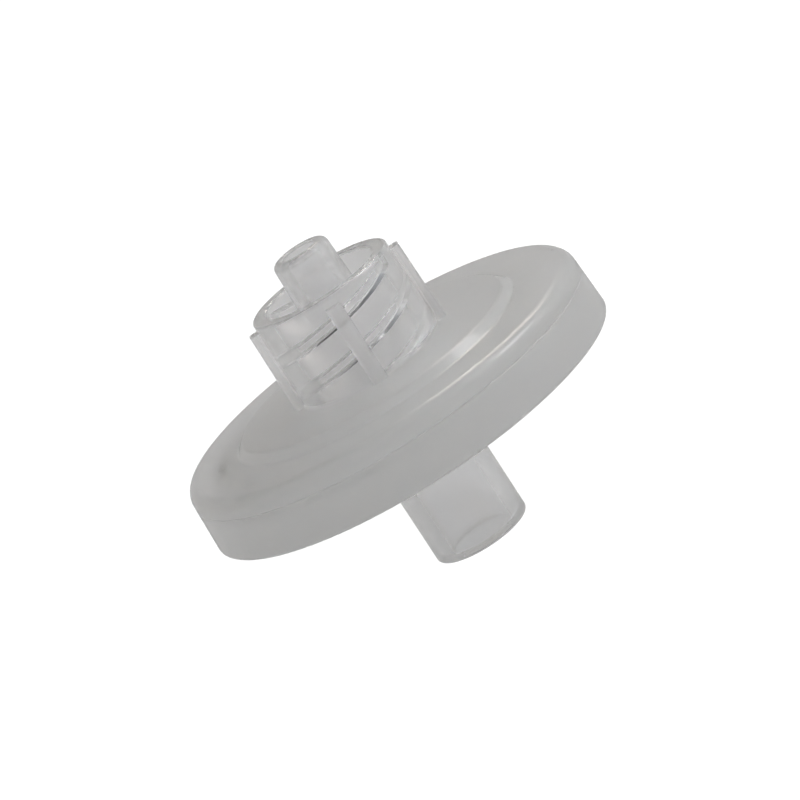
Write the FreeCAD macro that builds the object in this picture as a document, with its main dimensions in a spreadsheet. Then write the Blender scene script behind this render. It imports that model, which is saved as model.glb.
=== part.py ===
"""Syringe filter: a welded round case with a male luer lock on top and a plain tubing port below.

The real product is two clear mouldings with a filter membrane clamped and welded between them:

  lower_housing  the rim cup, the support grid under the membrane, and the tube with its tubing socket
  upper_housing  the lid with its raised crown, the male luer cone and the threaded lock collar with its ribs
  membrane       the thin filter disc

Frame: the origin is the centre of the tube's flat end, on which the filter stands, and +Z runs up the
axis to the luer tip. All sizes are in millimetres and angles in degrees.
"""

import FreeCAD, Part
import math
import os

import Sketcher
from FreeCAD import Placement, Rotation, Vector

# Each driving size: its name, its value, and what it measures.
SIZES = [
    ("socket_diameter", 4.5, "bore that takes the tubing"),
    ("tube_wall", 1.18, "wall of the tube round the socket"),
    ("tube_length", 8.95, "tube end to the underside of the case"),
    ("tube_end_round", 0.25, "rounding of the tube's outer end edge"),
    ("tube_root_round", 0.5, "fillet between the tube and the case"),
    ("socket_depth", 7.2, "how far the tubing goes in"),
    ("socket_lead_in", 0.35, "chamfer at the socket's mouth"),
    ("port_diameter", 2.6, "passage from the socket's stop to the membrane"),
    ("port_round", 0.4, "rounding where the passage meets the chamber"),
    ("membrane_diameter", 25.0, "filter disc, which sets how wide the case is"),
    ("membrane_thickness", 0.15, "filter disc"),
    ("membrane_margin", 0.5, "free room round the membrane's edge"),
    ("rim_wall", 2.0, "wall of the cup at its lower edge, outside the lid's spigot"),
    ("rim_draft", 3.0, "lean of the rim's side, in degrees"),
    ("bottom_round", 0.2, "rounding of the case's lower edge"),
    ("lower_rim_height", 3.1, "underside of the case to the weld line"),
    ("upper_rim_height", 1.3, "weld line to the lid's rim face"),
    ("weld_edge_round", 0.08, "rounding of both rims at the weld line, which leaves a fine line there"),
    ("shoulder_round", 0.95, "large rounding round the lid's edge"),
    ("crown_diameter", 20.0, "raised middle of the lid"),
    ("crown_height", 0.6, "step from the rim face up to the crown"),
    ("crown_slope", 0.6, "how far the step's flank runs outward"),
    ("crown_round", 0.25, "rounding of the step's two edges"),
    ("lock_diameter", 8.0, "inside of the lock collar, at the thread's roots"),
    ("collar_wall", 1.1, "wall of the collar at its mouth"),
    ("collar_draft", 0.08, "how much wider in radius the collar is at its root"),
    ("collar_height", 6.4, "crown to the collar's mouth"),
    ("collar_round", 0.2, "rounding of the collar's edges"),
    ("lock_floor_wall", 1.3, "wall between the collar's floor and the chamber"),
    ("thread_lead", 5.0, "advance in one turn"),
    ("thread_starts", 2, "number of threads"),
    ("thread_height", 0.5, "how far the thread stands in from the collar"),
    ("thread_root", 0.9, "thread width at its root"),
    ("thread_crest", 0.4, "thread width at its crest"),
    ("thread_phase", -106.0, "where the first thread leaves the floor, in degrees from +X"),
    ("thread_end_gap", 0.75, "collar's mouth down to the thread's end"),
    ("rib_height", 0.61, "how far a rib stands out from the collar at its top"),
    ("rib_draft", 0.1, "how much further out a rib stands at its root"),
    ("rib_width", 1.1, "width of a rib"),
    ("rib_edge_round", 0.25, "rounding of a rib's two outer edges"),
    ("rib_count", 4, "ribs round the collar"),
    ("rib_end_gap", 0.65, "collar's mouth down to the rib's top"),
    ("luer_tip_diameter", 4.02, "small end of the luer cone"),
    ("luer_taper", 0.06, "growth of the cone's diameter per millimetre"),
    ("luer_reach", 2.5, "how far the tip stands out of the collar"),
    ("luer_tip_round", 0.5, "rounding of the tip's outer edge"),
    ("luer_root_round", 0.3, "fillet at the cone's root"),
    ("luer_bore_diameter", 2.4, "passage through the cone"),
    ("bore_edge_round", 0.12, "rounding at the passage's mouth"),
    ("recess_depth", 1.05, "weld line down to the membrane's seat"),
    ("spigot_clearance", 0.08, "gap round the spigot, in the cup's recess"),
    ("clamp_width", 0.7, "width of the membrane's edge that the two halves clamp"),
    ("chamber_gap", 0.35, "free height above the membrane at its edge"),
    ("chamber_rise", 0.55, "how much higher the chamber is in the middle"),
    ("grid_depth", 0.45, "height of the support rings"),
    ("ring_first", 2.9, "radius of the innermost ring"),
    ("ring_spacing", 2.2, "from one ring to the next"),
    ("ring_width", 0.7, "width of a support ring"),
    ("channel_count", 8, "radial channels that cut the rings"),
    ("channel_width", 0.9, "width of a radial channel"),
]

doc = FreeCAD.newDocument("SyringeFilter")
sizes = doc.addObject("Spreadsheet::Sheet", "Sizes")
for row, (alias, value, meaning) in enumerate(SIZES, start=1):
    sizes.set(f"A{row}", alias)
    sizes.set(f"B{row}", str(value))
    sizes.set(f"C{row}", meaning)
    sizes.setAlias(f"B{row}", alias)
doc.recompute()

# Heights above the tube's end, as expressions of the sheet. What seats on a face uses that face's height.
CASE_BOTTOM = "Sizes.tube_length"
WELD_LINE = f"({CASE_BOTTOM} + Sizes.lower_rim_height)"
RIM_TOP = f"({WELD_LINE} + Sizes.upper_rim_height)"
CROWN_TOP = f"({RIM_TOP} + Sizes.crown_height)"
COLLAR_TOP = f"({CROWN_TOP} + Sizes.collar_height)"
RIB_TOP = f"({COLLAR_TOP} - Sizes.rib_end_gap)"
LUER_TIP = f"({COLLAR_TOP} + Sizes.luer_reach)"
SEAT = f"({WELD_LINE} - Sizes.recess_depth)"
MEMBRANE_TOP = f"({SEAT} + Sizes.membrane_thickness)"
GRID_FLOOR = f"({SEAT} - Sizes.grid_depth)"
CEILING_EDGE = f"({MEMBRANE_TOP} + Sizes.chamber_gap)"
CEILING_MIDDLE = f"({CEILING_EDGE} + Sizes.chamber_rise)"
LOCK_FLOOR = f"({CEILING_MIDDLE} + Sizes.lock_floor_wall)"
SOCKET_STOP = "Sizes.socket_depth"

# Radii. The case is as wide as its membrane needs, the tube as its socket, and the collar as its lock.
SOCKET = "(Sizes.socket_diameter / 2)"
TUBE = f"({SOCKET} + Sizes.tube_wall)"
PORT = "(Sizes.port_diameter / 2)"
MEMBRANE = "(Sizes.membrane_diameter / 2)"
RECESS = f"({MEMBRANE} + Sizes.membrane_margin)"
RIM = f"({RECESS} + Sizes.rim_wall)"
SPIGOT = f"({RECESS} - Sizes.spigot_clearance)"
CHAMBER = f"({MEMBRANE} - Sizes.clamp_width)"
CROWN = "(Sizes.crown_diameter / 2)"
LOCK = "(Sizes.lock_diameter / 2)"
COLLAR = f"({LOCK} + Sizes.collar_wall)"
RIB = f"({COLLAR} + Sizes.rib_height)"
LUER = "(Sizes.luer_tip_diameter / 2)"
LUER_BORE = "(Sizes.luer_bore_diameter / 2)"

# As many support rings as the chamber has room for, with a ring's width left free at its wall.
RING_COUNT = f"(floor(({CHAMBER} - Sizes.ring_width - Sizes.ring_first) / Sizes.ring_spacing) + 1)"

# The shoulder may take nearly all of the lid's side above the weld line, and no more than that.
SHOULDER = "min(Sizes.shoulder_round; 0.97 * (Sizes.upper_rim_height - Sizes.weld_edge_round))"

# How far a feature that joins another runs into it, so that the two fuse soundly.
BITE = "0.2"

# How near two heights are that count as one, in millimetres.
TOLERANCE = 1e-4


def rim_radius_at(height):
    """Radius of the leaning rim at a height above the tube's end."""
    return f"({RIM} - ({height} - {CASE_BOTTOM}) * tan(Sizes.rim_draft))"


def luer_radius_at(height):
    """Radius of the luer cone at a height above the tube's end."""
    return f"({LUER} + ({LUER_TIP} - {height}) * Sizes.luer_taper / 2)"


def measure(expression):
    """Present value of an expression of the sheet, as a plain number."""
    return float(sizes.evalExpression(str(expression)))


def new_body(label):
    body = doc.addObject("PartDesign::Body", label)
    body.Label = label
    return body


def origin_feature(body, role):
    """One of the body's own origin planes or axes, by its role."""
    return next(feature for feature in body.Origin.OriginFeatures if feature.Role == role)


def new_sketch(body, name, role="XZ_Plane"):
    """A sketch on one of the body's origin planes: on XZ_Plane, x is the radius and y the height."""
    sketch = body.newObject("Sketcher::SketchObject", name)
    sketch.AttachmentSupport = [(origin_feature(body, role), "")]
    sketch.MapMode = "FlatFace"
    return sketch


def place_point(sketch, geometry, vertex, corner, x, y):
    """Dimension a point from the sketch's origin, with both dimensions bound to the sheet."""
    for kind, axis, expression in (("DistanceX", "x", x), ("DistanceY", "y", y)):
        index = sketch.addConstraint(Sketcher.Constraint(kind, -1, 1, geometry, vertex, measure(expression)))
        sketch.renameConstraint(index, f"{corner}_{axis}")
        sketch.setExpression(f"Constraints[{index}]", expression)


def corner_cut(before, here, after, radius):
    """Where a rounding of this radius leaves its two straight sides, and whether it turns to the left."""
    inward = (before - here).normalize()
    outward = (after - here).normalize()
    half_angle = inward.getAngle(outward) / 2
    reach = radius / math.tan(half_angle)
    turns_left = (here - before).cross(after - here).z > 0
    return here + inward * reach, here + outward * reach, turns_left


def outline(sketch, corners):
    """Draw a closed outline through named corners, each (name, x, y) or (name, x, y, rounding).

    A plain corner is dimensioned where its two sides meet. A rounded one is dimensioned at the sharp corner
    that it stands for, and its arc is held tangent to both sides.
    """
    points = [Vector(measure(corner[1]), measure(corner[2]), 0) for corner in corners]
    count = len(corners)
    starts, ends, arcs = list(points), list(points), {}
    for i, corner in enumerate(corners):
        if len(corner) == 4:
            before, after = points[i - 1], points[(i + 1) % count]
            arcs[i] = corner_cut(before, points[i], after, measure(corner[3]))
            ends[i], starts[i] = arcs[i][0], arcs[i][1]

    # Side i runs from corner i to the next corner.
    sides = [sketch.addGeometry(Part.LineSegment(starts[i], ends[(i + 1) % count])) for i in range(count)]
    for i, corner in enumerate(corners):
        coming, leaving = sides[i - 1], sides[i]
        if i not in arcs:
            sketch.addConstraint(Sketcher.Constraint("Coincident", coming, 2, leaving, 1))
            place_point(sketch, leaving, 1, corner[0], corner[1], corner[2])
            continue
        arc_from, arc_to, turns_left = arcs[i]
        radius = measure(corner[3])
        across = (arc_from + arc_to) / 2 - points[i]
        centre = points[i] + across.normalize() * math.hypot(radius, (arc_from - points[i]).Length)
        middle = centre + (points[i] - centre).normalize() * radius
        arc = sketch.addGeometry(Part.Arc(arc_from, middle, arc_to))
        first, last = (1, 2) if turns_left else (2, 1)
        sharp = sketch.addGeometry(Part.Point(points[i]), True)
        place_point(sketch, sharp, 1, corner[0], corner[1], corner[2])
        sketch.addConstraint(Sketcher.Constraint("PointOnObject", sharp, 1, coming))
        sketch.addConstraint(Sketcher.Constraint("PointOnObject", sharp, 1, leaving))
        sketch.addConstraint(Sketcher.Constraint("Tangent", coming, 2, arc, first))
        sketch.addConstraint(Sketcher.Constraint("Tangent", arc, last, leaving, 1))
        index = sketch.addConstraint(Sketcher.Constraint("Radius", arc, radius))
        sketch.renameConstraint(index, f"{corner[0]}_round")
        sketch.setExpression(f"Constraints[{index}]", corner[3])


def revolve(body, sketch, name):
    """Turn the sketch's outline once round its vertical axis, which is the filter's axis."""
    turned = body.newObject("PartDesign::Revolution", name)
    turned.Profile = sketch
    turned.ReferenceAxis = (sketch, ["V_Axis"])
    turned.Angle = 360.0
    return settle(body, turned, +1)


def round_pattern(body, feature, name, count):
    """Repeat a feature evenly round the filter's axis."""
    sign = -1 if feature.TypeId == "PartDesign::Pocket" else +1
    pattern = body.newObject("PartDesign::PolarPattern", name)
    pattern.Originals = [feature]
    pattern.Axis = (origin_feature(body, "Z_Axis"), [""])
    pattern.Angle = 360.0
    pattern.setExpression("Occurrences", count)
    return settle(body, pattern, sign)


def upright_edges(shape, floor, radius):
    """Names of the upright edges on or above a floor that lie beyond a radius from the filter's axis."""
    names = []
    for number, edge in enumerate(shape.Edges, start=1):
        ends = [vertex.Point for vertex in edge.Vertexes]
        if len(ends) < 2 or abs((ends[1] - ends[0]).z) < 0.9 * edge.Length:
            continue
        stands = min(point.z for point in ends) > floor - TOLERANCE
        outside = min(math.hypot(point.x, point.y) for point in ends) > radius
        if stands and outside:
            names.append(f"Edge{number}")
    return names


def settle(body, feature, sign):
    """Make the feature the body's tip, and see that it added material (+1) or took some away (-1)."""
    before = body.Shape.Volume if body.Tip and not body.Shape.isNull() else 0.0
    body.Tip = feature
    doc.recompute()
    if (feature.Shape.Volume - before) * sign <= 0:
        raise RuntimeError(f"{body.Label}: {feature.Name} changed the volume the wrong way")
    return feature


def build_lower_housing():
    """Cup, rim, tubing port and support grid, as one moulding."""
    body = new_body("lower_housing")

    section = new_sketch(body, "LowerSection")
    outline(section, [
        ("socket_mouth", f"({SOCKET} + Sizes.socket_lead_in)", "0"),
        ("tube_end", TUBE, "0", "Sizes.tube_end_round"),
        ("tube_root", TUBE, CASE_BOTTOM, "Sizes.tube_root_round"),
        ("lower_edge", rim_radius_at(CASE_BOTTOM), CASE_BOTTOM, "Sizes.bottom_round"),
        ("weld_edge", rim_radius_at(WELD_LINE), WELD_LINE, "Sizes.weld_edge_round"),
        ("recess_edge", RECESS, WELD_LINE),
        ("recess_foot", RECESS, SEAT),
        ("seat_edge", CHAMBER, SEAT),
        ("chamber_foot", CHAMBER, GRID_FLOOR),
        ("port_edge", PORT, GRID_FLOOR, "Sizes.port_round"),
        ("port_foot", PORT, SOCKET_STOP),
        ("socket_foot", SOCKET, SOCKET_STOP),
        ("socket_lead", SOCKET, "Sizes.socket_lead_in"),
    ])
    revolve(body, section, "LowerTurned")

    # Concentric rings carry the membrane against the flow.
    rings = new_sketch(body, "RingSection")
    for i in range(int(measure(RING_COUNT))):
        middle = f"(Sizes.ring_first + {i} * Sizes.ring_spacing)"
        inner = f"({middle} - Sizes.ring_width / 2)"
        outer = f"({middle} + Sizes.ring_width / 2)"
        outline(rings, [
            (f"ring{i}_foot_inner", inner, f"({GRID_FLOOR} - {BITE})"),
            (f"ring{i}_foot_outer", outer, f"({GRID_FLOOR} - {BITE})"),
            (f"ring{i}_top_outer", outer, SEAT),
            (f"ring{i}_top_inner", inner, SEAT),
        ])
    revolve(body, rings, "SupportRings")

    # Radial channels cut through the rings and lead the liquid to the port.
    channel = new_sketch(body, "ChannelPlan", "XY_Plane")
    channel.setExpression(".AttachmentOffset.Base.z", SEAT)
    outermost = f"(Sizes.ring_first + ({RING_COUNT} - 1) * Sizes.ring_spacing + Sizes.ring_width)"
    half_width = "Sizes.channel_width / 2"
    outline(channel, [
        ("inner_right", PORT, f"(-{half_width})"),
        ("outer_right", outermost, f"(-{half_width})"),
        ("outer_left", outermost, f"({half_width})"),
        ("inner_left", PORT, f"({half_width})"),
    ])
    cut = body.newObject("PartDesign::Pocket", "Channel")
    cut.Profile = channel
    cut.setExpression("Length", "Sizes.grid_depth")
    settle(body, cut, -1)
    round_pattern(body, cut, "Channels", "Sizes.channel_count")
    return body


def build_upper_housing():
    """Lid, crown, luer cone, lock collar, thread and ribs, as one moulding."""
    body = new_body("upper_housing")
    collar_root = f"({COLLAR} + Sizes.collar_draft)"

    section = new_sketch(body, "UpperSection")
    outline(section, [
        ("spigot_foot", SPIGOT, MEMBRANE_TOP),
        ("spigot_root", SPIGOT, WELD_LINE),
        ("lid_edge", rim_radius_at(WELD_LINE), WELD_LINE, "Sizes.weld_edge_round"),
        ("shoulder", rim_radius_at(RIM_TOP), RIM_TOP, SHOULDER),
        ("crown_foot", f"({CROWN} + Sizes.crown_slope)", RIM_TOP, "Sizes.crown_round"),
        ("crown_edge", CROWN, CROWN_TOP, "Sizes.crown_round"),
        ("collar_root", collar_root, CROWN_TOP, "Sizes.collar_round"),
        ("collar_lip", COLLAR, COLLAR_TOP, "Sizes.collar_round"),
        ("collar_mouth", LOCK, COLLAR_TOP, "Sizes.collar_round"),
        ("lock_foot", LOCK, LOCK_FLOOR, "Sizes.collar_round"),
        ("luer_root", luer_radius_at(LOCK_FLOOR), LOCK_FLOOR, "Sizes.luer_root_round"),
        ("luer_tip", LUER, LUER_TIP, "Sizes.luer_tip_round"),
        ("bore_mouth", LUER_BORE, LUER_TIP, "Sizes.bore_edge_round"),
        ("bore_foot", LUER_BORE, CEILING_MIDDLE, "Sizes.luer_root_round"),
        ("ceiling_edge", CHAMBER, CEILING_EDGE),
        ("clamp_edge", CHAMBER, MEMBRANE_TOP),
    ])
    revolve(body, section, "UpperTurned")

    # Grip ribs: one side outline, drawn from inside the collar's wall, then repeated and rounded.
    inside_wall = f"({COLLAR} - Sizes.collar_wall / 2)"
    side = new_sketch(body, "RibSide")
    outline(side, [
        ("root_inner", inside_wall, f"({CROWN_TOP} - {BITE})"),
        ("root_outer", f"({RIB} + Sizes.rib_draft)", f"({CROWN_TOP} - {BITE})"),
        ("top_outer", RIB, RIB_TOP),
        ("top_inner", inside_wall, RIB_TOP),
    ])
    rib = body.newObject("PartDesign::Pad", "Rib")
    rib.Profile = side
    rib.SideType = "Symmetric"
    rib.setExpression("Length", "Sizes.rib_width")
    settle(body, rib, +1)
    ribs = round_pattern(body, rib, "Ribs", "Sizes.rib_count")
    rounds = body.newObject("PartDesign::Fillet", "RibRounds")
    rounds.Base = (ribs, upright_edges(ribs.Shape, measure(CROWN_TOP), measure(RIB)))
    rounds.setExpression("Radius", "Sizes.rib_edge_round")
    settle(body, rounds, -1)

    # Lock thread: a right-hand ridge with sloped flanks, rooted in the collar's wall. It rises out of the
    # floor, half sunk, and stops short of the mouth.
    tooth = new_sketch(body, "ThreadSection")
    tooth.AttachmentOffset = Placement(Vector(0, 0, 0), Rotation(Vector(0, 1, 0), 0))
    tooth.setExpression(".AttachmentOffset.Rotation.Angle", "Sizes.thread_phase")
    crest = f"({LOCK} - Sizes.thread_height)"
    sunk = f"({LOCK} + {BITE})"
    outline(tooth, [
        ("sunk_low", sunk, f"({LOCK_FLOOR} - Sizes.thread_root / 2)"),
        ("sunk_high", sunk, f"({LOCK_FLOOR} + Sizes.thread_root / 2)"),
        ("root_high", LOCK, f"({LOCK_FLOOR} + Sizes.thread_root / 2)"),
        ("crest_high", crest, f"({LOCK_FLOOR} + Sizes.thread_crest / 2)"),
        ("crest_low", crest, f"({LOCK_FLOOR} - Sizes.thread_crest / 2)"),
        ("root_low", LOCK, f"({LOCK_FLOOR} - Sizes.thread_root / 2)"),
    ])
    thread = body.newObject("PartDesign::AdditiveHelix", "Thread")
    thread.Profile = tooth
    thread.ReferenceAxis = (tooth, ["V_Axis"])
    thread.Mode = "pitch-height-angle"
    thread.setExpression("Pitch", "Sizes.thread_lead")
    thread.setExpression("Height", f"{COLLAR_TOP} - Sizes.thread_end_gap - {LOCK_FLOOR}")
    settle(body, thread, +1)
    round_pattern(body, thread, "Threads", "Sizes.thread_starts")
    return body


def build_membrane():
    """Filter disc, lying on its seat and clamped at its edge by the lid's spigot."""
    disc = doc.addObject("Part::Cylinder", "membrane")
    disc.Label = "membrane"
    disc.setExpression("Radius", MEMBRANE)
    disc.setExpression("Height", "Sizes.membrane_thickness")
    disc.setExpression("Placement.Base.z", SEAT)
    doc.recompute()
    return disc


pieces = [build_lower_housing(), build_membrane(), build_upper_housing()]
doc.recompute()

for item in doc.Objects:
    if "Invalid" in item.State or "Error" in item.State:
        raise RuntimeError(f"{item.Name} failed: {item.State}")
for piece in pieces:
    shape = piece.Shape
    if shape.isNull() or not shape.isValid() or len(shape.Solids) != 1:
        raise RuntimeError(f"{piece.Label} isn't one valid solid")

os.makedirs("parts", exist_ok=True)
for piece in pieces:
    piece.Shape.exportStep(f"parts/{piece.Label}.step")
    box = piece.Shape.optimalBoundingBox(False, False)
    print(f"{piece.Label}: {piece.Shape.Volume:.1f} mm3, "
          f"{box.XLength:.2f} x {box.YLength:.2f} x {box.ZLength:.2f} mm from z {box.ZMin:.2f}")
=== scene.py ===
# %% [markdown]
# # A syringe filter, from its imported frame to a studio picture
#
# The real thing is a small disposable filter, 30 mm across. Two mouldings of natural polypropylene are
# welded together round a white membrane. The upper one carries a male luer cone inside a threaded lock
# collar, and the lower one ends in a plain tube that takes soft tubing. The engineering model already holds
# every shape, so this lesson is about one thing: making milky plastic look right, which is mostly a matter
# of what happens inside it.
#
# The model comes first, loaded as a fixed frame. Everything is in metres. The filter stands on its tube.

import math

import bpy
from mathutils import Matrix, Vector


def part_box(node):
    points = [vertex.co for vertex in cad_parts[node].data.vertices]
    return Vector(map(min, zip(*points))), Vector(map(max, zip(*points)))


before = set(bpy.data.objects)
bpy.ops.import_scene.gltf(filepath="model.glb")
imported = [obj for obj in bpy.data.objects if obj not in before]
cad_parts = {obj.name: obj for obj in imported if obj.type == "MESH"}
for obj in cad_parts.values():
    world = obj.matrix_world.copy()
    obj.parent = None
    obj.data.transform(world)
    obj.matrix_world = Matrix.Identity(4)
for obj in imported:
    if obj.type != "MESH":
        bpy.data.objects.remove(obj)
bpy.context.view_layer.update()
MM = 0.001
print("nodes:", ", ".join(sorted(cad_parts)))

# %% [markdown]
# The finishes need a few places on the filter. The boxes of its nodes give them: the weld line is where the
# lower moulding ends, the tip is the top of the upper one, and the membrane's two faces are its own box.
# Reading them here lets the finishes follow the case and the membrane to another size.

# %% Measure the frame
lower_low, lower_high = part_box("lower_housing")
membrane_low, membrane_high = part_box("membrane")
weld_height = lower_high.z
tip_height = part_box("upper_housing")[1].z
membrane_radius = membrane_high.x
case_radius = lower_high.x
print(f"case {2 * case_radius / MM:.2f} mm across, membrane {2 * membrane_radius / MM:.2f} mm")
print(f"weld line at {weld_height / MM:.2f} mm, luer tip at {tip_height / MM:.2f} mm")

# %% [markdown]
# Colours are given as sRGB hex values, the way a colour picker shows them. The renderer works in linear
# light, so one function converts them.

# %% Colour


def linear(hex_colour):
    """Linear RGBA of an sRGB hex colour such as 'C8D0D2'."""
    channels = [int(hex_colour[i:i + 2], 16) / 255 for i in (0, 2, 4)]
    return [c / 12.92 if c <= 0.04045 else ((c + 0.055) / 1.055) ** 2.4 for c in channels] + [1.0]


print("mid grey 808080 is", [round(c, 3) for c in linear("808080")[:3]], "in linear light")

# %% [markdown]
# Every finish below is a small tree of nodes. One function adds a node of any kind with its settings and
# its inputs, and an input may be a number, a colour, or the output of an earlier node. Inputs are named as
# the node shows them, with an underscore for each space, or by their place for nodes whose inputs share one
# name.

# %% Nodes


def add_node(tree, kind, settings=None, places=(), **inputs):
    """Add one node, with its settings by name and its inputs by place or by name."""
    node = tree.nodes.new(kind)
    for name, value in (settings or {}).items():
        setattr(node, name, value)
    named = [(node.inputs[name.replace("_", " ")], value) for name, value in inputs.items()]
    for socket, value in list(zip(node.inputs, places)) + named:
        if isinstance(value, bpy.types.NodeSocket):
            tree.links.new(value, socket)
        elif value is not None:
            socket.default_value = value
    return node


def new_material(name):
    """An empty node material: the material, its tree and its output node."""
    material = bpy.data.materials.new(name)
    material.use_nodes = True
    material.node_tree.nodes.clear()
    return material, material.node_tree, material.node_tree.nodes.new("ShaderNodeOutputMaterial")


# %% [markdown]
# ## Where each finish lies
#
# A mould isn't finished alike all over. The big faces of this filter are satin, which hides the flow marks
# of a thin moulding. The lock collar and the outlet tube are polished, and a few places are matte because
# their steel was eroded by sparks and left so: the inside of the case, the luer cone, the socket, the ribs,
# and the wall between the threads.
#
# A patch of another finish could be a separate mesh or a painted mask. It needn't be either: on a turned
# part the finish can find its place by itself, from the distance to the axis and the height. So each place
# is a ring, an inner and an outer radius and a lower and an upper height. It follows the shape exactly and
# needs no unwrapping.
#
# The first ring is the chamber, the hollow round the membrane, with the grid that carries it. A ring that
# is open on one side runs a little beyond the filter there.

# %% The chamber
BEYOND = 1.0 * MM
NO_INNER = -BEYOND
CHAMBER_REACH = 0.7 * MM
CHAMBER_DEPTH = 1.0 * MM
CHAMBER_RISE = 0.3 * MM
chamber_zone = (NO_INNER, membrane_radius + CHAMBER_REACH,
                membrane_low.z - CHAMBER_DEPTH, weld_height + CHAMBER_RISE)
print(f"the chamber is {(chamber_zone[3] - chamber_zone[2]) / MM:.2f} mm high")

# %% [markdown]
# The lock stands on the lid: the luer cone in the middle, the bore with its threads round it, the collar,
# and four ribs outside for the fingers. The wall between the threads is the bottom of the thread groove.

# %% The lock
FLOOR_RISE, RIB_RISE, MOUTH_DROP = 0.95 * MM, 1.85 * MM, 2.55 * MM
CONE_OUTSIDE = 2.7 * MM
COLLAR_INSIDE, COLLAR_OUTSIDE = 3.3 * MM, 5.3 * MM
THREAD_CREST, GROOVE_BOTTOM = 3.4 * MM, 4.06 * MM
RIB_OUTSIDE = 6.2 * MM
above_all = tip_height + BEYOND
lock_floor = weld_height + FLOOR_RISE
cone_zone = (NO_INNER, CONE_OUTSIDE, lock_floor, above_all)
collar_zone = (COLLAR_INSIDE, COLLAR_OUTSIDE, lock_floor, above_all)
groove_zone = (THREAD_CREST, GROOVE_BOTTOM, lock_floor, tip_height - MOUTH_DROP)
rib_zone = (COLLAR_OUTSIDE, RIB_OUTSIDE, weld_height + RIB_RISE, above_all)
print(f"the collar is {2 * COLLAR_OUTSIDE / MM:.1f} mm across and starts at {lock_floor / MM:.2f} mm")

# %% [markdown]
# The outlet is a tube with a wide socket in it, polished outside and matte inside. The case's flat
# underside, where the tube starts, is glossy too, so the grid under the membrane can be seen through it
# from below.

# %% The outlet
TUBE_OUTSIDE, TUBE_LENGTH = 3.7 * MM, 8.8 * MM
SOCKET_OUTSIDE, SOCKET_DEPTH = 2.6 * MM, 7.6 * MM
EDGE_MARGIN = 1.2 * MM
FACE_HALF = 0.3 * MM
below_all = lower_low.z - BEYOND
underside = lower_low.z + TUBE_LENGTH
tube_zone = (NO_INNER, TUBE_OUTSIDE, below_all, underside)
socket_zone = (NO_INNER, SOCKET_OUTSIDE, below_all, lower_low.z + SOCKET_DEPTH)
underside_zone = (NO_INNER, case_radius - EDGE_MARGIN, underside - FACE_HALF, underside + FACE_HALF)
print(f"the socket is {SOCKET_DEPTH / MM:.1f} mm deep, the underside {underside / MM:.1f} mm above the floor")

# %% [markdown]
# The next function turns such a ring into nodes: four comparisons multiplied together, which give 1 inside
# the ring and 0 outside. The radius is the length of the position with its height taken out.

# %% Zone masks


def product(tree, *factors):
    """Multiply several masks."""
    result = factors[0]
    for factor in factors[1:]:
        result = add_node(tree, "ShaderNodeMath", {"operation": "MULTIPLY"}, (result, factor)).outputs[0]
    return result


def ring_mask(tree, radius, height, ring):
    """1 inside a ring (inner radius, outer radius, lower height, upper height), and 0 elsewhere."""
    inner, outer, low, high = ring
    return product(
        tree,
        add_node(tree, "ShaderNodeMath", {"operation": "GREATER_THAN"}, (radius, inner)).outputs[0],
        add_node(tree, "ShaderNodeMath", {"operation": "LESS_THAN"}, (radius, outer)).outputs[0],
        add_node(tree, "ShaderNodeMath", {"operation": "GREATER_THAN"}, (height, low)).outputs[0],
        add_node(tree, "ShaderNodeMath", {"operation": "LESS_THAN"}, (height, high)).outputs[0],
    )


# %% [markdown]
# ## Where two pieces have no air between them
#
# The mouldings and the membrane are separate solids that touch face to face. For a ray of light that
# matters: at a face between plastic and air it bends or bounces, but at the weld there is no air, and none
# where the membrane is squeezed against its seat. Left as they are, those faces would act as mirrors that
# trap light, and the disc would turn dark. Joining the meshes would change the model, so the finish makes
# just those faces transparent, and a ray passes straight on into the next piece. Each contact is a thin
# ring round one height.
#
# The last ring is the slit between the lid's spigot and the case, less than a tenth of a millimetre wide.
# In the real weld, molten plastic is squeezed into it and fills it, so its two walls are treated as joined
# too.

# %% Contacts
CONTACT_HALF = 0.004 * MM
CLAMP_WIDTH = 0.8 * MM
PAST_EDGE = 0.02 * MM
SLIT_FROM, SLIT_TO = 0.35 * MM, 0.55 * MM
membrane_edge = membrane_radius + PAST_EDGE
contact_rings = [
    (membrane_edge, case_radius, weld_height - CONTACT_HALF, weld_height + CONTACT_HALF),
    (NO_INNER, membrane_edge, membrane_low.z - CONTACT_HALF, membrane_low.z + CONTACT_HALF),
    (membrane_radius - CLAMP_WIDTH, membrane_edge,
     membrane_high.z - CONTACT_HALF, membrane_high.z + CONTACT_HALF),
    (membrane_radius + SLIT_FROM, membrane_radius + SLIT_TO, membrane_high.z, weld_height),
]
print(len(contact_rings), "contacts: the weld, the membrane's seat, its clamp, and the filled slit")

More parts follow.
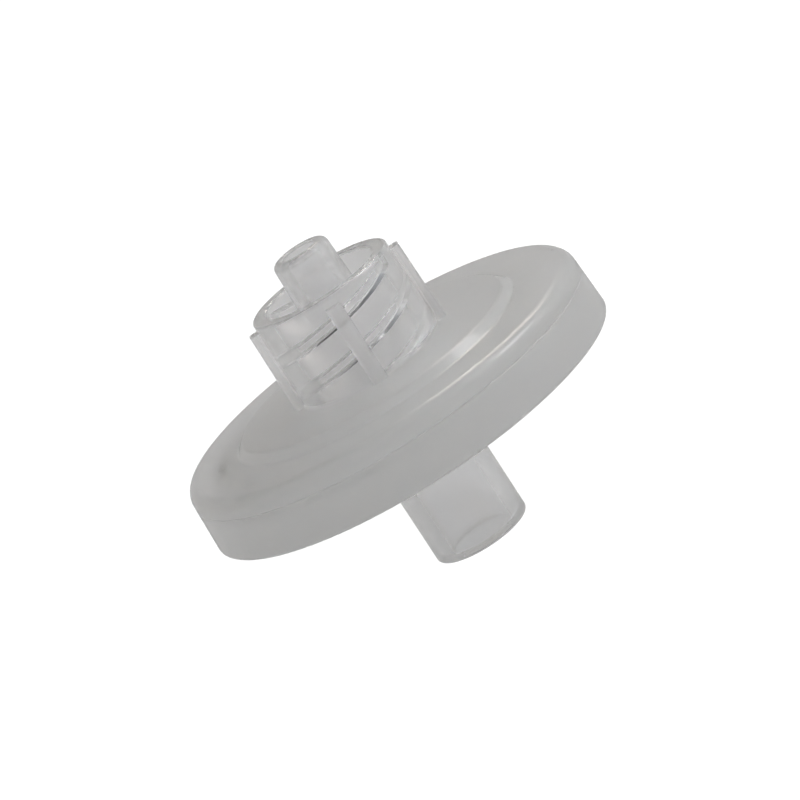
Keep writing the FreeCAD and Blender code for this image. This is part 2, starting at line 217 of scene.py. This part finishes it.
# %% [markdown]
# ## Natural polypropylene, injection moulded
#
# Unpigmented polypropylene is clear in itself, with an index of refraction of 1.49, but it sets in tiny
# crystals that scatter light. The eye sees a soft, greyish, milky body, and glassy reflections where it is
# polished.
#
# There are three ways to make it. A white coat mixed over glass is quick, but it sits on the skin and looks
# like paint. Subsurface scattering gives the body, but it can't be seen through. The way used here is the
# true one: glass whose inside is filled with a thin fog. Light crosses a wall of 1 mm nearly undisturbed,
# so the threads show through the collar, and loses its way in the thick case. The fog's density is one over
# the distance that light travels between two scatterings, 9 mm here. With 5 mm the dark lines of the
# threads turn grey, because a ray crosses the collar's wall twice on its way to the flank that mirrors the
# room and back.
#
# The satin of the skin does the other half. It blurs what lies behind it, and so it hides the chamber's
# edges. It has a practical side as well: below a roughness of about 0.27 the renderer's noise filter takes
# its hints from the faces deep inside, and draws their outlines as hard rings that no eye would see.
#
# On the skin, a slow ripple less than a hundredth of a millimetre high stands for the way the melt shrinks
# away from the steel, and it breaks up the highlights. The satin is a little uneven too, and where the skin
# chilled first the plastic is very slightly cooler in colour.

# %% Polypropylene
REFRACTION = 1.49
SATIN = 0.30
SATIN_DRIFT = 0.04
SCATTER_LENGTH = 9.0 * MM
ABSORB_LENGTH = 500 * MM
FORWARD_BIAS = 0.3
RIPPLE_WAVE = 3.0 * MM
RIPPLE_HEIGHT = 0.006 * MM


def milky_inside(tree, output):
    """Fill a material with thin fog, and let it swallow very little light."""
    fog = add_node(tree, "ShaderNodeVolumeScatter", Color=linear("FFFFFF"), Density=1 / SCATTER_LENGTH,
                   Anisotropy=FORWARD_BIAS)
    loss = add_node(tree, "ShaderNodeVolumeAbsorption", Color=linear("000000"), Density=1 / ABSORB_LENGTH)
    inside = add_node(tree, "ShaderNodeAddShader", None, (fog.outputs[0], loss.outputs[0]))
    tree.links.new(inside.outputs[0], output.inputs["Volume"])


print(f"light scatters once in {SCATTER_LENGTH / MM:.1f} mm of plastic")

# %% [markdown]
# Each place then changes the roughness of the skin inside its ring. Two things make that finer. A finish
# may fade with height, because the polishing tool doesn't reach down into the corner of the mould: the
# collar is bright at its top and turns satin toward its foot. And a finish may count on upright walls only,
# which the z of the face's own normal tells. That leaves the sloping flanks of the threads as bright as the
# collar, while the groove between them is matte.

# %% The skin
LEVEL_NORMAL = 0.3


def skin_roughness(tree, radius, height, drift, zones):
    """Satin all over, changed in each zone: its ring, its finish, and whether only upright walls count."""
    face = add_node(tree, "ShaderNodeNewGeometry").outputs["True Normal"]
    tilt = add_node(tree, "ShaderNodeSeparateXYZ", None, (face,)).outputs["Z"]
    steepness = add_node(tree, "ShaderNodeMath", {"operation": "ABSOLUTE"}, (tilt,)).outputs[0]
    upright = add_node(tree, "ShaderNodeMath", {"operation": "LESS_THAN"},
                       (steepness, LEVEL_NORMAL)).outputs[0]
    roughness = add_node(tree, "ShaderNodeMath", {"operation": "MULTIPLY_ADD"},
                         (drift, SATIN_DRIFT, SATIN - SATIN_DRIFT / 2)).outputs[0]
    for ring, finish, walls_only in zones:
        mask = ring_mask(tree, radius, height, ring)
        if walls_only:
            mask = product(tree, mask, upright)
        if isinstance(finish, tuple):
            finish = add_node(tree, "ShaderNodeMapRange", None, (height, *finish)).outputs["Result"]
        roughness = add_node(tree, "ShaderNodeMix", Factor=mask, A=roughness, B=finish).outputs["Result"]
    return roughness


print(f"satin from {SATIN - SATIN_DRIFT / 2:.2f} to {SATIN + SATIN_DRIFT / 2:.2f}")

# %% [markdown]
# Now the parts come together: the skin with its ripple and tint, made transparent where two pieces touch,
# and the fog inside. The skin is the Principled shader at full transmission, so it keeps its Fresnel
# reflection.

# %% The whole plastic


def polypropylene(name, zones):
    """Milky clear plastic with its places of another finish."""
    material, tree, output = new_material(name)
    position = add_node(tree, "ShaderNodeTexCoord").outputs["Object"]
    height = add_node(tree, "ShaderNodeSeparateXYZ", None, (position,)).outputs["Z"]
    level = add_node(tree, "ShaderNodeVectorMath", {"operation": "MULTIPLY"},
                     (position, (1, 1, 0))).outputs[0]
    radius = add_node(tree, "ShaderNodeVectorMath", {"operation": "LENGTH"}, (level,)).outputs["Value"]
    drift = add_node(tree, "ShaderNodeTexNoise", Vector=position, Scale=1 / RIPPLE_WAVE,
                     Detail=2.0).outputs["Fac"]

    tint = add_node(tree, "ShaderNodeMix", {"data_type": "RGBA"}, Factor=drift)
    tint.inputs["A"].default_value = linear("FCFDFF")
    tint.inputs["B"].default_value = linear("FFFEFD")
    ripple = add_node(tree, "ShaderNodeBump", Height=drift, Distance=RIPPLE_HEIGHT, Strength=1.0).outputs[0]
    glass = add_node(tree, "ShaderNodeBsdfPrincipled", Base_Color=tint.outputs["Result"],
                     Roughness=skin_roughness(tree, radius, height, drift, zones),
                     Normal=ripple, IOR=REFRACTION, Transmission_Weight=1.0)

    contact = ring_mask(tree, radius, height, contact_rings[0])
    for ring in contact_rings[1:]:
        contact = add_node(tree, "ShaderNodeMath", {"operation": "MAXIMUM"},
                           (contact, ring_mask(tree, radius, height, ring))).outputs[0]
    no_air = add_node(tree, "ShaderNodeBsdfTransparent")
    skin = add_node(tree, "ShaderNodeMixShader", None, (contact, glass.outputs[0], no_air.outputs[0]))
    tree.links.new(skin.outputs[0], output.inputs["Surface"])
    milky_inside(tree, output)
    return material


# %% [markdown]
# Both mouldings are the same plastic. They differ only in their places: the lower one has the grid under
# the membrane and the outlet tube, and the upper one has the ceiling of the chamber, the cone, the lock and
# the ribs.

# %% Both mouldings
CHAMBER_MATTE = 0.9
POLISHED = 0.03
UNDERSIDE_GLOSS = 0.12
CONE_MATTE = 0.25
SOCKET_MATTE = 0.2
GROOVE_MATTE = 0.45
RIB_MATTE = 0.28
FADE_FROM, FADE_TO = 0.8 * MM, 4.5 * MM
collar_fade = (lock_floor + FADE_FROM, lock_floor + FADE_TO, SATIN, POLISHED)
finishes = {
    "lower_housing": polypropylene("polypropylene_lower", [
        (chamber_zone, CHAMBER_MATTE, False),
        (underside_zone, UNDERSIDE_GLOSS, False),
        (tube_zone, POLISHED, False),
        (socket_zone, SOCKET_MATTE, False),
    ]),
    "upper_housing": polypropylene("polypropylene_upper", [
        (chamber_zone, CHAMBER_MATTE, False),
        (collar_zone, collar_fade, False),
        (cone_zone, CONE_MATTE, False),
        (groove_zone, GROOVE_MATTE, True),
        (rib_zone, RIB_MATTE, False),
    ]),
}
for node, finish in finishes.items():
    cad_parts[node].data.materials[0] = finish
    print(node, "is finished as", finish.name)

# %% [markdown]
# ## The membrane, a cast microporous film
#
# Its pores are under a thousandth of a millimetre, so it throws back light of every colour alike and looks
# like matte white paper. The pores themselves could never show. What does is the faint unevenness of the
# cast sheet, drawn here with a grain of 0.2 mm, coarser than the real one so that it can be seen at all.

# %% Membrane
GRAIN = 0.2 * MM
GRAIN_HEIGHT = 0.01 * MM
FILM_MATTE, FILM_DRIFT = 0.85, 0.1
membrane_film, tree, output = new_material("microporous_membrane")
place = add_node(tree, "ShaderNodeTexCoord").outputs["Object"]
grain = add_node(tree, "ShaderNodeTexNoise", Vector=place, Scale=1 / GRAIN, Detail=3.0).outputs["Fac"]
white = add_node(tree, "ShaderNodeMix", {"data_type": "RGBA"}, Factor=grain)
white.inputs["A"].default_value = linear("F0F0ED")
white.inputs["B"].default_value = linear("F8F8F6")
relief = add_node(tree, "ShaderNodeBump", Height=grain, Distance=GRAIN_HEIGHT, Strength=1.0).outputs[0]
matte = add_node(tree, "ShaderNodeMath", {"operation": "MULTIPLY_ADD"},
                 (grain, FILM_DRIFT, FILM_MATTE)).outputs[0]
film = add_node(tree, "ShaderNodeBsdfPrincipled", Base_Color=white.outputs["Result"], Roughness=matte,
                Normal=relief, IOR=1.5)
tree.links.new(film.outputs[0], output.inputs["Surface"])
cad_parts["membrane"].data.materials[0] = membrane_film
print("membrane is finished as", membrane_film.name)

# %% [markdown]
# ## Letting the light find its way
#
# Fog inside glass asks more of the renderer than a solid does. A ray may scatter dozens of times before it
# gets out, and each one that is given up leaves the plastic darker than it is, so the limits are raised.
# The filter that blurs glossy bounces, meant to calm noise, must be off as well: it throws away nearly half
# of the light that scatters inside glass. In an evenly bright world a lossless piece ought to vanish, and
# with that filter on, its case is little more than half as bright as the world.

# %% Light paths
cycles = bpy.context.scene.cycles
cycles.max_bounces = 128
cycles.transmission_bounces = 64
cycles.glossy_bounces = 64
cycles.volume_bounces = 64
cycles.transparent_max_bounces = 64
cycles.diffuse_bounces = 16
cycles.blur_glossy = 0.0
print("a ray may bounce", cycles.max_bounces, "times")

# %% [markdown]
# ## A plain white floor
#
# In a studio, a clear object that is to stand out on white gets white paper that is bright but small, with
# grey all round it, because clear plastic shows whatever surrounds it. The same paper that fills the
# picture would flood the filter from below and make it vanish. So the floor is two things at once: the
# camera sees bright white paper, and everything else, the plastic included, sees a dim grey felt, as grey
# as the room. The Light Path node tells the two apart, by what kind of ray arrives, and so the floor looks
# the same from any side.
#
# From underneath, the floor would hide the filter, so its lower face isn't there at all: it is transparent.

# %% Floor
FLOOR_HALF = 3.0
FLOOR_DROP = 0.01 * MM
corners = [(-FLOOR_HALF, -FLOOR_HALF, 0), (FLOOR_HALF, -FLOOR_HALF, 0), (FLOOR_HALF, FLOOR_HALF, 0),
           (-FLOOR_HALF, FLOOR_HALF, 0)]
floor_mesh = bpy.data.meshes.new("floor")
floor_mesh.from_pydata(corners, [], [(0, 1, 2, 3)])
floor = bpy.data.objects.new("floor", floor_mesh)
floor.location.z = -FLOOR_DROP
bpy.context.scene.collection.objects.link(floor)
print(f"floor {2 * FLOOR_HALF:.0f} m square, {FLOOR_DROP / MM} mm under the tube")

# %% Paper and felt
PAPER_WHITE = 1.1
FELT_MATTE, FELT_SHINE, FELT_GLOW = 0.9, 0.2, 0.28
paper, tree, output = new_material("paper")
seen = add_node(tree, "ShaderNodeEmission", Color=linear("FFFFFF"), Strength=PAPER_WHITE)
felt = add_node(tree, "ShaderNodeBsdfPrincipled", Base_Color=linear("AAAAAA"), Roughness=FELT_MATTE,
                Specular_IOR_Level=FELT_SHINE, Emission_Color=linear("FFFFFF"), Emission_Strength=FELT_GLOW)
ray = add_node(tree, "ShaderNodeLightPath").outputs["Is Camera Ray"]
upper_face = add_node(tree, "ShaderNodeMixShader", None, (ray, felt.outputs[0], seen.outputs[0]))
from_below = add_node(tree, "ShaderNodeNewGeometry").outputs["Backfacing"]
lower_face = add_node(tree, "ShaderNodeBsdfTransparent")
both_faces = add_node(tree, "ShaderNodeMixShader", None,
                      (from_below, upper_face.outputs[0], lower_face.outputs[0]))
tree.links.new(both_faces.outputs[0], output.inputs["Surface"])
floor_mesh.materials.append(paper)
print("the floor is finished as", paper.name)

# %% [markdown]
# ## The room
#
# Clear plastic has no look of its own, it borrows one from the room, and every dark line in it is a mirror
# image of something dark. The room is a mid grey, a little warm. A cool window's glow lies low on the
# right, and the room gets darker to the left of the filter and toward the camera, so its left side is
# shaded. High behind it hangs a black flag, the studio's word for a dark cloth. The undersides of the
# threads reflect just that spot, by total reflection inside the plastic, and turn into black lines.
#
# A ray's direction is compared with the middle of each patch, and the closer it is, the more of the patch's
# colour is added. That is a dot product and a soft ramp between two angles. A patch is given by its azimuth
# and elevation, the angles where it is full and where it ends, and what it adds, which may be negative.

# %% Room


def direction(azimuth, elevation):
    """Unit vector towards an azimuth from +X and an elevation above the floor, in degrees."""
    a, e = math.radians(azimuth), math.radians(elevation)
    return Vector((math.cos(a) * math.cos(e), math.sin(a) * math.cos(e), math.sin(e)))


ROOM_GREY = (0.412, 0.402, 0.389)
PATCHES = {
    "black_flag": dict(azimuth=95, elevation=58, full=34, edge=38, adds=[-c for c in ROOM_GREY]),
    "window_glow": dict(azimuth=5, elevation=15, full=0, edge=84, adds=(0.395, 0.427, 0.463)),
    "shaded_side": dict(azimuth=205, elevation=-10, full=0, edge=90, adds=(-0.31, -0.306, -0.311)),
}
for patch_name, patch in PATCHES.items():
    print(f"{patch_name}: azimuth {patch['azimuth']}, elevation {patch['elevation']}, reach {patch['edge']}")

# %% [markdown]
# The patches are added up in the world's nodes. The camera itself sees plain white where the floor ends, so
# the picture has one pale background from every side, and only the filter sees the room.

# %% World
world = bpy.data.worlds.new("studio")
bpy.context.scene.world = world
world.use_nodes = True
tree = world.node_tree
tree.nodes.clear()
heading = add_node(tree, "ShaderNodeTexCoord").outputs["Generated"]
colour = ROOM_GREY
for patch in PATCHES.values():
    closeness = add_node(tree, "ShaderNodeVectorMath", {"operation": "DOT_PRODUCT"},
                         (heading, direction(patch["azimuth"], patch["elevation"]))).outputs["Value"]
    share = add_node(tree, "ShaderNodeMapRange", {"interpolation_type": "SMOOTHSTEP"}, Value=closeness,
                     From_Min=math.cos(math.radians(patch["edge"])),
                     From_Max=math.cos(math.radians(patch["full"])))
    scaled = add_node(tree, "ShaderNodeVectorMath", {"operation": "SCALE"}, Scale=share.outputs["Result"])
    scaled.inputs[0].default_value = patch["adds"]
    colour = add_node(tree, "ShaderNodeVectorMath", {"operation": "ADD"},
                      (colour, scaled.outputs[0])).outputs[0]
room = add_node(tree, "ShaderNodeBackground", Color=colour, Strength=1.0)
backdrop = add_node(tree, "ShaderNodeBackground", Color=linear("FFFFFF"), Strength=PAPER_WHITE)
ray = add_node(tree, "ShaderNodeLightPath").outputs["Is Camera Ray"]
either = add_node(tree, "ShaderNodeMixShader", None, (ray, room.outputs[0], backdrop.outputs[0]))
add_node(tree, "ShaderNodeOutputWorld", None, (either.outputs[0],))
bpy.context.scene.view_settings.view_transform = "Standard"
print(len(PATCHES), "patches on a grey room")

# %% [markdown]
# ## Two lamps
#
# The room gives the filter its greys, and two small lamps draw the highlights. The window stands high on
# the right and is mirrored twice, by the step round the middle of the lid and by the lid's rounded
# shoulder, as two short slanting patches of light. A long warm strip behind adds a fainter, longer streak
# along the shoulder. Each lamp is a rectangle that faces the filter.

# %% Lamps


def strip_light(name, azimuth, elevation, distance, width, height, power, hex_colour):
    """A rectangular lamp in a direction from the filter, facing it."""
    data = bpy.data.lights.new(name, "AREA")
    data.shape = "RECTANGLE"
    data.size, data.size_y = width, height
    data.energy = power
    data.color = linear(hex_colour)[:3]
    lamp = bpy.data.objects.new(name, data)
    middle = Vector((0, 0, tip_height / 2))
    lamp.location = middle + direction(azimuth, elevation) * distance
    lamp.rotation_euler = (middle - lamp.location).to_track_quat("-Z", "Y").to_euler()
    bpy.context.scene.collection.objects.link(lamp)
    print(f"{name}: {width} by {height} m, {power} W at {distance} m")


strip_light("window", azimuth=3, elevation=51, distance=0.6, width=0.18, height=0.12, power=0.8,
            hex_colour="FFFFFF")
strip_light("back_strip", azimuth=76, elevation=40, distance=0.6, width=0.19, height=0.05, power=0.5,
            hex_colour="FFF3E9")

# %% [markdown]
# ## The camera
#
# The view is from the front, 15 degrees above the horizon, with the camera rolled so that the filter leans
# over to the left. Distance and lens belong together: the distance sets how much nearer parts grow, and the
# lens then sets the size in the frame. It is given in frame widths, as the focal length over the width of
# the sensor. The camera's three axes are worked out first and become the columns of its matrix, and its
# place is a distance back from the point that it aims at, in the middle of the filter.

# %% Camera
ELEVATION = math.radians(14.687)
ROLL = math.radians(33.149)
TURN = math.radians(0.9)
DISTANCE = 280 * MM
AIM = Vector((0.25, -0.10, 10.76)) * MM
SENSOR = 36.0
FRAME_WIDTHS = 5.355
forward = Vector((0, math.cos(ELEVATION), -math.sin(ELEVATION)))
level_right = Vector((1, 0, 0))
level_up = level_right.cross(forward)
right = level_right * math.cos(ROLL) - level_up * math.sin(ROLL)
up = level_right * math.sin(ROLL) + level_up * math.cos(ROLL)
camera_data = bpy.data.cameras.new("camera")
camera_data.sensor_width = SENSOR
camera_data.lens = FRAME_WIDTHS * SENSOR
camera = bpy.data.objects.new("camera", camera_data)
pose = Matrix.Translation(AIM - forward * DISTANCE) @ Matrix((right, up, -forward)).transposed().to_4x4()
camera.matrix_world = Matrix.Rotation(TURN, 4, "Z") @ pose
bpy.context.scene.collection.objects.link(camera)
bpy.context.scene.camera = camera
print(f"lens {camera_data.lens:.0f} mm at {DISTANCE / MM:.0f} mm")
